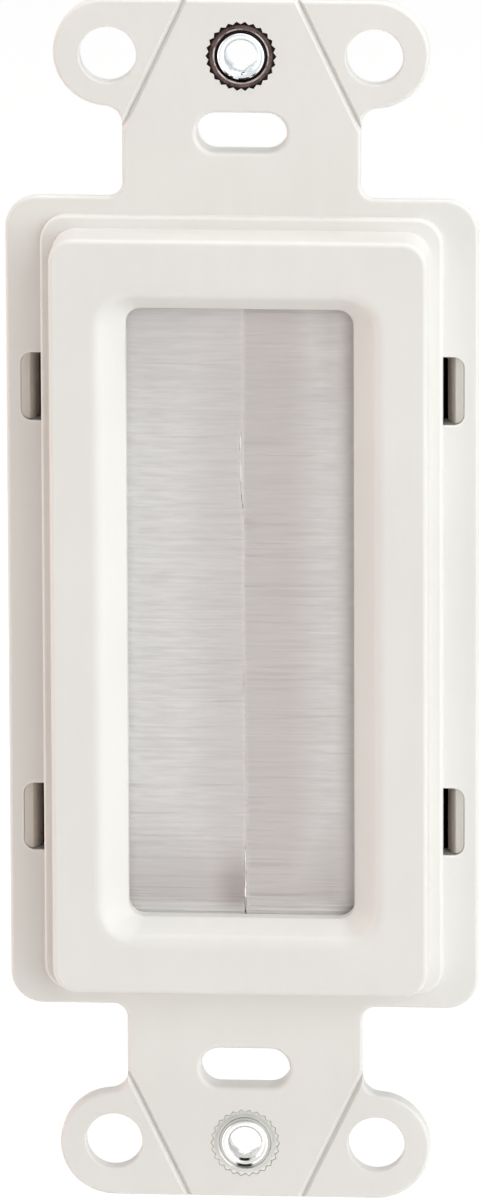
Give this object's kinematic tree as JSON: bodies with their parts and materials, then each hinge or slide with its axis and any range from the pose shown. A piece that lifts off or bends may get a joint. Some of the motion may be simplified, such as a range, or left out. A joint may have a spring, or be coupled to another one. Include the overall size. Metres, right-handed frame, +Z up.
{
  "type": "brush wall plate",
  "caption": "White moulded wall strap with a raised rectangular bezel whose opening is closed by strip brushes, for passing cables through a wall.",
  "frame": {"origin": "centre of the box-screw pattern, on the wall side of the mounting strap", "axes": "+Z up along the strap, -Y out of the wall towards the viewer, +X to the viewer's right"},
  "size_m": [0.0406, 0.0098, 0.1066],
  "materials": {
    "strap_plastic": "satin",
    "retainer_plastic": "satin",
    "upper_insert_metal": "darkened zinc",
    "lower_insert_metal": "bright zinc",
    "channel_metal": "mill",
    "wire_metal": "plain",
    "filament": "satin nylon"
  },
  "bodies": {
    "root": {"strap": "strap_plastic", "upper_screw_insert": "upper_insert_metal", "lower_screw_insert": "lower_insert_metal", "rear_retainer": "retainer_plastic", "left_brush_channel": "channel_metal", "right_brush_channel": "channel_metal", "left_core_wire": "wire_metal", "right_core_wire": "wire_metal", "left_bristles": "filament", "right_bristles": "filament"}
  },
  "joints": []
}
